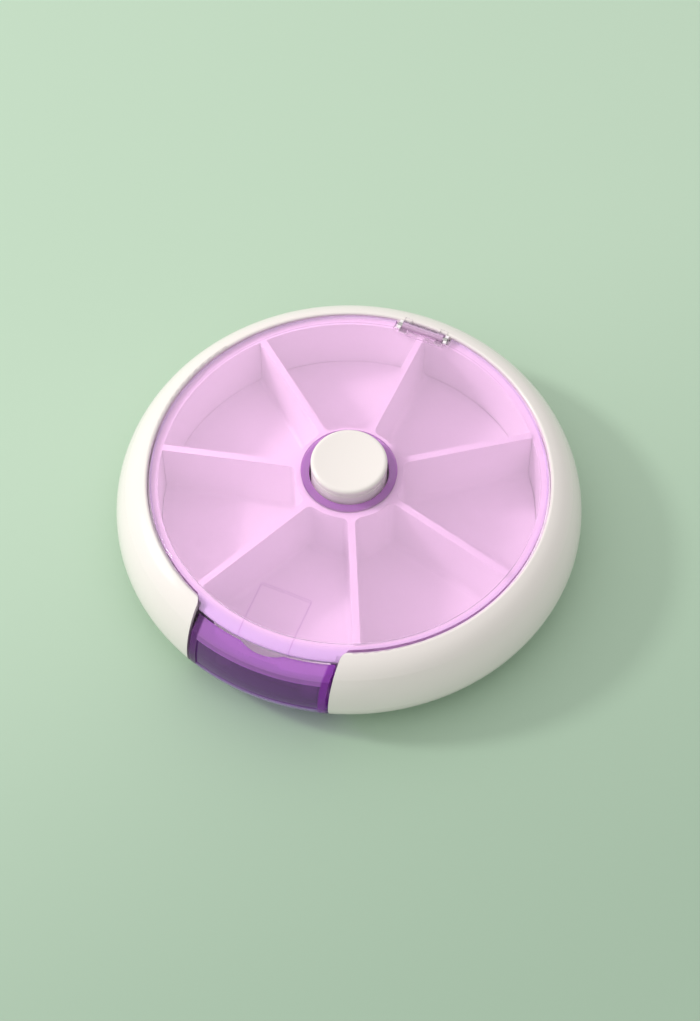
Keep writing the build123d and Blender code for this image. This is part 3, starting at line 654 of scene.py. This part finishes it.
def coil_tree(name):
    """A coil of round wire: radius, height, turns and wire size are the tree's inputs."""
    tree = bpy.data.node_groups.new(name, "GeometryNodeTree")
    group_input(tree, "Geometry", "NodeSocketGeometry")
    group_input(tree, "Coil Radius", "NodeSocketFloat", 0.003)
    group_input(tree, "Height", "NodeSocketFloat", 0.009)
    group_input(tree, "Base", "NodeSocketFloat", 0.005)
    group_input(tree, "Turns", "NodeSocketFloat", 5.0)
    group_input(tree, "Wire Radius", "NodeSocketFloat", 0.0003)
    group_input(tree, "Sides", "NodeSocketInt", 12)
    group_input(tree, "Material", "NodeSocketMaterial")
    tree.interface.new_socket(name="Geometry", in_out="OUTPUT", socket_type="NodeSocketGeometry")
    given = tree.nodes.new("NodeGroupInput").outputs
    spiral = node(
        tree,
        "GeometryNodeCurveSpiral",
        Resolution=40,
        Rotations=given["Turns"],
        Start_Radius=given["Coil Radius"],
        End_Radius=given["Coil Radius"],
        Height=given["Height"],
    )
    ring = node(
        tree,
        "GeometryNodeCurvePrimitiveCircle",
        Resolution=given["Sides"],
        Radius=given["Wire Radius"],
    )
    tube = node(
        tree,
        "GeometryNodeCurveToMesh",
        Curve=spiral.outputs["Curve"],
        Profile_Curve=ring.outputs["Curve"],
        Fill_Caps=True,
    )
    lift = node(tree, "ShaderNodeCombineXYZ", Z=given["Base"])
    moved = node(
        tree,
        "GeometryNodeTransform",
        Geometry=tube.outputs["Mesh"],
        Translation=lift.outputs["Vector"],
    )
    joined = tree.nodes.new("GeometryNodeJoinGeometry")
    tree.links.new(given["Geometry"], joined.inputs[0])
    tree.links.new(moved.outputs[0], joined.inputs[0])
    real = node(tree, "GeometryNodeRealizeInstances", Geometry=joined.outputs[0])
    final = node(tree, "GeometryNodeSetMaterial", Geometry=real.outputs[0], Material=given["Material"])
    out = tree.nodes.new("NodeGroupOutput")
    tree.links.new(final.outputs[0], out.inputs[0])
    return tree


def keep_result(piece):
    """Turn what a piece's modifier makes into its plain mesh, and drop the modifier."""
    bpy.context.view_layer.update()
    ready = piece.evaluated_get(bpy.context.evaluated_depsgraph_get())
    mesh = bpy.data.meshes.new_from_object(ready)
    old = piece.data
    piece.modifiers.clear()
    piece.data = mesh
    bpy.data.meshes.remove(old)


def grown(piece, tree, values):
    """Run a geometry tree on a piece and keep the result as its plain mesh."""
    modifier = piece.modifiers.new("Grow", "NODES")
    modifier.node_group = tree
    for item in tree.interface.items_tree:
        if item.in_out == "INPUT" and item.name in values:
            modifier[item.identifier] = values[item.name]
    keep_result(piece)
    return piece


# Meshes


def new_piece(name, bm, mat=None, smooth=True):
    """Keep a bmesh as an object with at most one material."""
    bmesh.ops.remove_doubles(bm, verts=bm.verts, dist=0.0000001)
    bmesh.ops.recalc_face_normals(bm, faces=bm.faces)
    mesh = bpy.data.meshes.new(name)
    bm.to_mesh(mesh)
    bm.free()
    for face in mesh.polygons:
        face.use_smooth = smooth
    piece = bpy.data.objects.new(name, mesh)
    bpy.context.scene.collection.objects.link(piece)
    if mat is not None:
        mesh.materials.append(mat)
    return piece


def lathe(bm, profile, steps=48):
    """Turn a list of (radius, height) points, in metres, about the vertical axis.

    A point on the axis is the tip of a fan, which closes that end.
    """
    rings = []
    for radius, height in profile:
        if radius == 0:
            rings.append([bm.verts.new((0, 0, height))])
            continue
        ring = []
        for step in range(steps):
            angle = 2 * math.pi * step / steps
            ring.append(bm.verts.new((radius * math.cos(angle), radius * math.sin(angle), height)))
        rings.append(ring)
    for low, high in zip(rings, rings[1:]):
        for step in range(steps):
            after = (step + 1) % steps
            if len(low) == 1:
                bm.faces.new((low[0], high[step], high[after]))
            elif len(high) == 1:
                bm.faces.new((low[step], low[after], high[0]))
            else:
                bm.faces.new((low[step], low[after], high[after], high[step]))


def screw_mesh(bm, seat, way, head_height, length, head_radius, core):
    """A pan-head screw about the vertical axis. Its head stands on the seat, away from its shank."""
    head = seat + way * head_height
    crown, drop = 0.00004, 0.55
    profile = [(0, head + way * crown)]
    for share in (0.35, 0.6, 0.8, 0.93, 1.0):
        profile.append((head_radius * share, head - way * head_height * drop * share**4))
    profile.append((head_radius, seat))
    profile.append((core, seat))
    tip = seat - way * length
    taper, point = 0.6, 0.45
    profile.append((core, tip + way * core * taper))
    profile.append((core * point, tip))
    profile.append((0, tip))
    lathe(bm, profile)


def cross_cutter(height, way):
    """A tapering cross that cuts the screwdriver recess."""
    reach, half, foot = RECESS_REACH * MM, RECESS_HALF * MM, RECESS_FOOT * MM
    above, foot_share = 0.3 * MM, 0.7
    levels = ((way * above, reach, half), (-way * RECESS_DEPTH * MM, foot, half * foot_share))
    faces = ((0, 1, 2, 3), (4, 5, 6, 7), (0, 1, 5, 4), (1, 2, 6, 5), (2, 3, 7, 6), (3, 0, 4, 7))
    bm = bmesh.new()
    for turned in (False, True):
        corners = []
        for level, long, wide in levels:
            for x, y in ((-long, -wide), (long, -wide), (long, wide), (-long, wide)):
                place = (-y, x) if turned else (x, y)
                corners.append(bm.verts.new((*place, height + level)))
        for face in faces:
            bm.faces.new([corners[i] for i in face])
    return new_piece("cutter", bm, smooth=False)


def combine(piece, other, operation="DIFFERENCE"):
    """Subtract or add another mesh and drop it."""
    modifier = piece.modifiers.new("Cut", "BOOLEAN")
    modifier.operation = operation
    modifier.solver = "EXACT"
    modifier.use_self = True
    modifier.object = other
    keep_result(piece)
    bpy.data.objects.remove(other)


def box_mesh(low, high):
    """An upright box between two corners in millimetres, as an object."""
    bm = bmesh.new()
    bmesh.ops.create_cube(bm, size=1.0)
    for vert in bm.verts:
        for axis in range(3):
            vert.co[axis] = (low[axis] if vert.co[axis] < 0 else high[axis]) * MM
    return new_piece("block", bm, smooth=False)


def hinge_rod(radius, half, steps=32):
    """A cylinder along the lid's hinge axis, in millimetres, as an object."""
    bm = bmesh.new()
    ends = []
    for x in (-half, half):
        ring = []
        for step in range(steps):
            angle = 2 * math.pi * step / steps
            place = (x, HINGE_Y + radius * math.cos(angle), HINGE_Z + radius * math.sin(angle))
            ring.append(bm.verts.new([c * MM for c in place]))
        ends.append(ring)
        bm.faces.new(ring)
    for step in range(steps):
        after = (step + 1) % steps
        bm.faces.new((ends[0][step], ends[0][after], ends[1][after], ends[1][step]))
    return new_piece("rod", bm)


def no_flare(radius):
    """What a tongue with straight sides adds to its half width."""
    return 0.0


def tongue_mesh(section, half, columns=40, flare=no_flare):
    """A turned section over the outlet, cut at a half width that may flare, as an object."""
    bm = bmesh.new()
    rows = []
    for column in range(columns + 1):
        share = 2 * column / columns - 1
        row = []
        for radius, height in section:
            x = share * (half + flare(radius))
            row.append(bm.verts.new((x * MM, -math.sqrt(radius * radius - x * x) * MM, height * MM)))
        rows.append(row)
    bm.faces.new(rows[0])
    bm.faces.new(rows[-1])
    for left, right in zip(rows, rows[1:]):
        for corner in range(len(section)):
            after = (corner + 1) % len(section)
            bm.faces.new((left[corner], left[after], right[after], right[corner]))
    return new_piece("tongue", bm)


def turned_mesh(name, section, steps=160):
    """A closed section in millimetres turned about the vertical axis, as an object."""
    bm = bmesh.new()
    lathe(bm, [(r * MM, z * MM) for r, z in section + section[:1]], steps)
    return new_piece(name, bm)


def copied(name):
    """A copy of a CAD node's mesh in the shared frame, as an object of its own."""
    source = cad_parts[name]
    bm = bmesh.new()
    bm.from_mesh(source.data)
    bm.transform(source.matrix_world)
    piece = new_piece(name + "_shape", bm)
    for stored in ("custom_normal", "sharp_edge", "sharp_face"):
        if stored in piece.data.attributes:
            piece.data.attributes.remove(piece.data.attributes[stored])
    return piece


def cleaned(piece):
    """Drop the doubled points, slivers and loose scraps that cuts leave."""
    closest, fewest_faces = 0.000002, 12
    bm = bmesh.new()
    bm.from_mesh(piece.data)
    bmesh.ops.remove_doubles(bm, verts=bm.verts, dist=closest)
    bmesh.ops.dissolve_degenerate(bm, edges=bm.edges, dist=closest)
    waiting = set(bm.faces)
    scraps = []
    while waiting:
        island = [waiting.pop()]
        for face in island:
            for edge in face.edges:
                for other in edge.link_faces:
                    if other in waiting:
                        waiting.remove(other)
                        island.append(other)
        if len(island) < fewest_faces:
            scraps += island
    bmesh.ops.delete(bm, geom=scraps, context="FACES")
    bm.to_mesh(piece.data)
    bm.free()


def finished(piece, mat, body, slot, *nodes):
    """Shade a piece smooth between its sharp edges and let it stand for CAD nodes."""
    cleaned(piece)
    piece.data.materials.clear()
    piece.data.materials.append(mat)
    for face in piece.data.polygons:
        face.use_smooth = True
        face.material_index = 0
    piece.data.set_sharp_from_angle(angle=math.radians(28))
    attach(piece, body)
    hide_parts(*nodes)


# One operator for each group of pieces


class ORGANIZER_OT_case(bpy.types.Operator):
    """Finish the white ring, the base and its cover"""

    bl_idname = "organizer.case"
    bl_label = "Case"

    def execute(self, context):
        settings = context.scene.organizer_plastic
        dress(["outer_ring"], white_plastic("ring white", settings.white, settings))
        base_white = white_plastic("base white", settings.white, settings, 0.42, mottle=0.04, depth=0.00003)
        dress(["base_cover"], base_white)
        return {"FINISHED"}


class ORGANIZER_OT_compartments(bpy.types.Operator):
    """Shape the drum's fine edges, and finish it and the turning compartments"""

    bl_idname = "organizer.compartments"
    bl_label = "Compartments"

    def execute(self, context):
        settings = context.scene.organizer_plastic
        # The drum and the rotor take the brightened inner white, painted light for the compartments under
        # the lid
        white = white_plastic("drum white", settings.lit_inner_white, settings, 0.34)
        finished(self.drum(), white, "case", "drum_white", "inner_drum")
        white = white_plastic("rotor white", settings.lit_inner_white, settings, 0.3)
        finished(self.rotor(), white, "rotor", "rotor_white", "pill_rotor")
        return {"FINISHED"}

    def drum(self):
        """The CAD drum with its pale lip, the shelf behind the lid's tab and slim hinge ears."""
        drum = copied("inner_drum")
        combine(drum, turned_mesh("lip", DRUM_LIP), "UNION")
        combine(drum, tongue_mesh(TAB_SHELF, TAB_SHELF_HALF), "UNION")
        combine(drum, tongue_mesh(SHELF_END, OUTLET_HALF))
        for low, high in HINGE_CUTS:
            combine(drum, box_mesh(low, high))
        return drum

    def rotor(self):
        """The CAD rotor with its hub, vane tops and wall raised to the lid, most of all at the hub."""
        rotor = copied("pill_rotor")
        for vert in rotor.data.vertices:
            if vert.co.z > ROTOR_TOP * MM:
                away = math.hypot(vert.co.x, vert.co.y) / MM
                inward = min(1.0, (ROTOR_RADIUS - away) / (ROTOR_RADIUS - HUB_RADIUS))
                vert.co.z += MM * (RIM_RISE + FURTHER_HUB_RISE * inward)
            if math.hypot(vert.co.x, vert.co.y) > ROTOR_WALL * MM:
                vert.co.x *= SHOWN_ROTOR_RADIUS / ROTOR_RADIUS
                vert.co.y *= SHOWN_ROTOR_RADIUS / ROTOR_RADIUS
        return rotor


class ORGANIZER_OT_lid(bpy.types.Operator):
    """Shape and finish the clear lid with its ledge, tab and hinge bar"""

    bl_idname = "organizer.lid"
    bl_label = "Lid"

    def execute(self, context):
        settings = context.scene.organizer_plastic
        lid = turned_mesh("lid_shape", self.section())
        combine(lid, box_mesh(*HINGE_NOTCH))
        combine(lid, tongue_mesh(TAB, TAB_HALF, flare=self.tab_flare), "UNION")
        combine(lid, box_mesh(*HINGE_ARM), "UNION")
        combine(lid, hinge_rod(HINGE_BAR, HINGE_BAR_HALF), "UNION")
        combine(lid, hinge_rod(HINGE_BORE, HINGE_BORE_HALF))
        clear = clear_plastic("clear purple lid", settings.lid_tint, 0.035, 0.14, lid_zones(settings))
        finished(lid, clear, "lid", "lid_purple", "lid")
        return {"FINISHED"}

    def section(self):
        """The lid's radius-height section: ledge round the button, dome and rounded rim."""
        top = list(LEDGE_TOP)
        under = []
        for step in range(1, DOME_STEPS + 1):
            radius = DOME_START + (DOME_END - DOME_START) * step / DOME_STEPS
            height = DOME_FOOT + DOME_RISE * (1 - ((radius - DOME_CENTRE) / DOME_SPAN) ** 2)
            top.append((radius, height))
            if WALL_START < radius < WALL_END:
                under.append((radius, height - LID_WALL))
        for step in range(1, EDGE_STEPS + 1):
            angle = math.pi / 2 * step / EDGE_STEPS
            radius = DOME_END + EDGE_ROUND * math.sin(angle)
            top.append((radius, EDGE_HEIGHT + EDGE_ROUND * math.cos(angle)))
        return top + LID_FOOT + under[::-1] + LEDGE_UNDER

    def tab_flare(self, radius):
        """What the tab gains in half width where it joins the lid."""
        return TAB_FLARE * (max(0.0, FLARE_START - radius) / FLARE_LENGTH) ** 2


class ORGANIZER_OT_door(bpy.types.Operator):
    """Shape and finish the clear chute door with its fingertip scoop"""

    bl_idname = "organizer.door"
    bl_label = "Chute Door"

    def execute(self, context):
        settings = context.scene.organizer_plastic
        door = copied("chute_door")
        combine(door, tongue_mesh(DOOR_SHELF, DOOR_SHELF_HALF), "UNION")
        combine(door, tongue_mesh(ABOVE_DOOR, ABOVE_DOOR_HALF))
        combine(door, self.scoop())
        combine(door, self.window())
        clear = clear_plastic("clear purple door", settings.door_tint, 0.06, 0.42, door_zones(settings))
        finished(door, clear, "door", "door_purple", "chute_door")
        return {"FINISHED"}

    def scoop(self):
        """The round cutter of the scoop for a fingertip."""
        bm = bmesh.new()
        outline = [(0, SCOOP_LOW), (SCOOP_RADIUS, SCOOP_LOW), (SCOOP_RADIUS, SCOOP_TOP), (0, SCOOP_TOP)]
        lathe(bm, [(r * MM, z * MM) for r, z in outline], SCOOP_STEPS)
        bmesh.ops.translate(bm, verts=bm.verts, vec=(0, SCOOP_Y * MM, 0))
        return new_piece("scoop", bm)

    def window(self):
        """The cutter of the sunk window, which follows the door's bulging skin."""
        skin = [(self.skin_radius(z), z) for z in WINDOW_HEIGHTS]
        sunk = [(r - WINDOW_DEPTH, z) for r, z in skin]
        outside = [(r + PAST_SKIN, z) for r, z in skin[::-1]]
        return tongue_mesh(sunk + outside, WINDOW_HALF, WINDOW_COLUMNS)

    def skin_radius(self, height):
        """The skin's distance from the vertical axis at a height."""
        centre, square = UPPER_ARC if height >= BELLY_HEIGHT else LOWER_ARC
        return centre + math.sqrt(square - (height - BELLY_HEIGHT) ** 2)


class ORGANIZER_OT_button(bpy.types.Operator):
    """Finish the button's cap and sleeve"""

    bl_idname = "organizer.button"
    bl_label = "Button"

    def execute(self, context):
        settings = context.scene.organizer_plastic
        dress(["button_cap"], white_plastic("button white", settings.white, settings, 0.24))
        dress(["button_plunger"], white_plastic("sleeve white", settings.white, settings, 0.33, mottle=0.03))
        return {"FINISHED"}


class ORGANIZER_OT_drive(bpy.types.Operator):
    """Finish the spindle, the cam, the pawls and the steel parts"""

    bl_idname = "organizer.drive"
    bl_label = "Drive"

    def execute(self, context):
        settings = context.scene.organizer_plastic
        acetal = white_plastic("drive plastic", settings.acetal, settings, 0.38, mottle=0.05, depth=0.00002)
        dress(["spindle", "cam_driver", "pawl_ring", "ratchet_ring", "thrust_washer"], acetal)
        steel = metal("steel", settings.steel, 0.3)
        dress(["retaining_washer", "detent_spring", "lid_hinge_pin", "door_hinge_pin"], steel)
        return {"FINISHED"}


class ORGANIZER_OT_spring(bpy.types.Operator):
    """Wind the return spring from round wire"""

    bl_idname = "organizer.spring"
    bl_label = "Return Spring"

    def execute(self, context):
        coil = context.scene.organizer_coil
        steel = metal("spring steel", context.scene.organizer_plastic.steel, 0.26)
        low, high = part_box("return_spring")
        outer = (high.x - low.x) / 2
        piece = new_piece("wound_spring", bmesh.new())
        values = {
            "Coil Radius": outer - coil.wire,
            "Height": high.z - low.z - 2 * coil.wire,
            "Base": low.z + coil.wire,
            "Turns": coil.turns,
            "Wire Radius": coil.wire,
            "Sides": coil.sides,
            "Material": steel,
        }
        grown(piece, coil_tree("Coil"), values)
        for face in piece.data.polygons:
            face.use_smooth = True
        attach(piece, "case")
        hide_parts("return_spring")
        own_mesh(piece)
        return {"FINISHED"}


class ORGANIZER_OT_screws(bpy.types.Operator):
    """Make the two screws on the spindle, with their recesses and threads"""

    bl_idname = "organizer.screws"
    bl_label = "Screws"

    def execute(self, context):
        coil = context.scene.organizer_coil
        steel = metal("screw steel", context.scene.organizer_plastic.steel, 0.28)
        tree = coil_tree("Thread")
        made = []
        for name, way, head in (("base_screw", -1, BASE_HEAD), ("retaining_screw", 1, RETAINING_HEAD)):
            low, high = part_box(name)
            end, tip = (low.z, high.z) if way < 0 else (high.z, low.z)
            seat = end - way * head * MM
            length = abs(tip - seat)
            bm = bmesh.new()
            screw_mesh(bm, seat, way, head * MM, length, (high.x - low.x) / 2, SCREW_CORE * MM)
            piece = new_piece(name + "_turned", bm, steel)
            combine(piece, cross_cutter(end, way))
            threaded = length - THREAD_LOSS * MM
            values = {
                "Coil Radius": THREAD_RADIUS * MM,
                "Height": threaded,
                "Base": min(tip, seat) + THREAD_START * MM,
                "Turns": threaded / coil.pitch,
                "Wire Radius": THREAD_WIRE * MM,
                "Sides": 4,
                "Material": steel,
            }
            made.append(grown(piece, tree, values))
        bm = bmesh.new()
        for piece in made:
            bm.from_mesh(piece.data)
            bpy.data.objects.remove(piece)
        joined = bpy.data.meshes.new("spindle_screws")
        bm.to_mesh(joined)
        bm.free()
        joined.materials.append(steel)
        screws = bpy.data.objects.new("spindle_screws", joined)
        context.scene.collection.objects.link(screws)
        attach(screws, "case")
        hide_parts("base_screw", "retaining_screw")
        return {"FINISHED"}


class ORGANIZER_OT_stage(bpy.types.Operator):
    """Set the floor, the soft lights and the camera"""

    bl_idname = "organizer.stage"
    bl_label = "Stage"

    def execute(self, context):
        stage = context.scene.organizer_stage
        self.make_floor(context, stage)
        self.make_lights(context, stage)
        self.make_camera(context, stage)
        return {"FINISHED"}

    def make_floor(self, context, stage):
        """A plain floor with painted shade, which fades from the darker near colour to the lighter far one.
        """
        bm = bmesh.new()
        bmesh.ops.create_grid(bm, x_segments=8, y_segments=8, size=FLOOR_HALF)
        made, tree = material("pale floor")
        place = object_place(tree)
        turn = (0, 0, -stage.azimuth - FLOOR_FADE_TURN)
        turned = node(tree, "ShaderNodeMapping", Vector=place, Rotation=turn)
        depth = node(tree, "ShaderNodeSeparateXYZ", Vector=turned.outputs[0]).outputs["Y"]
        # Painted shade: the floor darkens towards the front along the turned depth
        near, far = FLOOR_FADE
        ramp = node(tree, "ShaderNodeMapRange", Value=depth, From_Min=near, From_Max=far)
        ramp.interpolation_type = "SMOOTHSTEP"
        tone = mixed(tree, ramp.outputs["Result"], stage.floor_near_shaded, stage.floor_far)
        speck = noise(tree, place, size=0.0015, detail=3.0, roughness=0.7)
        shader = node(
            tree,
            "ShaderNodeBsdfPrincipled",
            Base_Color=tone,
            Roughness=spread(tree, speck, 0.5, 0.66),
            Normal=bump(tree, speck, 0.00002, strength=0.4),
        )
        node(tree, "ShaderNodeOutputMaterial", Surface=shader.outputs[0])
        floor = new_piece("floor", bm, made, smooth=False)

    def make_lights(self, context, stage):
        """A world that is brighter above and to the left, and one soft key lamp."""
        world = bpy.data.worlds.new("even light")
        world.use_nodes = True
        tree = world.node_tree
        back = tree.nodes["Background"]
        back.inputs["Color"].default_value = (1.0, 0.985, 0.965, 1)
        across, deep = math.cos(stage.azimuth), math.sin(stage.azimuth)
        right, away, up = FILL_TOWARDS
        facing = tree.nodes.new("ShaderNodeVectorMath")
        facing.operation = "DOT_PRODUCT"
        tree.links.new(tree.nodes.new("ShaderNodeTexCoord").outputs["Generated"], facing.inputs[0])
        facing.inputs[1].default_value = (right * across - away * deep, right * deep + away * across, up)
        level = node(
            tree,
            "ShaderNodeMapRange",
            Value=facing.outputs["Value"],
            From_Min=-1.0,
            From_Max=1.0,
            To_Min=stage.fill * FILL_DIM,
            To_Max=stage.fill * FILL_BRIGHT,
        )
        tree.links.new(level.outputs["Result"], back.inputs["Strength"])
        context.scene.world = world
        self.key_lamp(context, stage)

    def key_lamp(self, context, stage):
        """A round area lamp to the left of the camera, aimed at the organizer."""
        data = bpy.data.lights.new("key", "AREA")
        data.shape = "DISK"
        data.size = KEY_SIZE
        data.energy = stage.key_power
        data.color = (1.0, 0.985, 0.96)
        lamp = bpy.data.objects.new("key", data)
        rise = math.radians(KEY_RISE)
        turn = math.radians(KEY_TURN + math.degrees(stage.azimuth))
        flat = KEY_DISTANCE * math.cos(rise)
        place = (flat * math.cos(turn), flat * math.sin(turn), KEY_DISTANCE * math.sin(rise))
        lamp.location = Vector(place)
        lamp.rotation_euler = (-lamp.location).to_track_quat("-Z", "Y").to_euler()
        context.scene.collection.objects.link(lamp)

    def make_camera(self, context, stage):
        """The camera at the photograph's angle."""
        data = bpy.data.cameras.new("camera")
        data.lens = stage.lens
        data.clip_start = 0.01
        camera = bpy.data.objects.new("camera", data)
        away = stage.distance * math.cos(stage.elevation)
        camera.location = (
            away * math.sin(stage.azimuth),
            -away * math.cos(stage.azimuth),
            stage.distance * math.sin(stage.elevation) + stage.aim_height,
        )
        camera.rotation_euler = (math.pi / 2 - stage.elevation - stage.tilt, 0, stage.azimuth - stage.pan)
        context.scene.collection.objects.link(camera)
        context.scene.camera = camera
        context.scene.view_settings.view_transform = "Standard"


class ORGANIZER_PT_panel(bpy.types.Panel):
    """The organizer's finishes and stage"""

    bl_label = "Pill Organizer"
    bl_idname = "ORGANIZER_PT_panel"
    bl_space_type = "VIEW_3D"
    bl_region_type = "UI"
    bl_category = "Organizer"

    def draw(self, context):
        for group in ("organizer_plastic", "organizer_coil", "organizer_stage"):
            settings = getattr(context.scene, group)
            box = self.layout.box()
            for name in settings.__annotations__:
                box.prop(settings, name)
        for operator in OPERATORS:
            self.layout.operator(operator.bl_idname)


SETTINGS = {
    "organizer_plastic": PlasticSettings,
    "organizer_coil": CoilSettings,
    "organizer_stage": StageSettings,
}

OPERATORS = [
    ORGANIZER_OT_stage,
    ORGANIZER_OT_case,
    ORGANIZER_OT_compartments,
    ORGANIZER_OT_lid,
    ORGANIZER_OT_door,
    ORGANIZER_OT_button,
    ORGANIZER_OT_drive,
    ORGANIZER_OT_spring,
    ORGANIZER_OT_screws,
]


def register():
    for name, group in SETTINGS.items():
        bpy.utils.register_class(group)
        setattr(bpy.types.Scene, name, PointerProperty(type=group))
    for operator in OPERATORS:
        bpy.utils.register_class(operator)
    bpy.utils.register_class(ORGANIZER_PT_panel)


def unregister():
    bpy.utils.unregister_class(ORGANIZER_PT_panel)
    for operator in reversed(OPERATORS):
        bpy.utils.unregister_class(operator)
    for name, group in SETTINGS.items():
        delattr(bpy.types.Scene, name)
        bpy.utils.unregister_class(group)


def main():
    register()
    for operator in OPERATORS:
        family, name = operator.bl_idname.split(".")
        getattr(getattr(bpy.ops, family), name)()


if __name__ == "__main__":
    main()
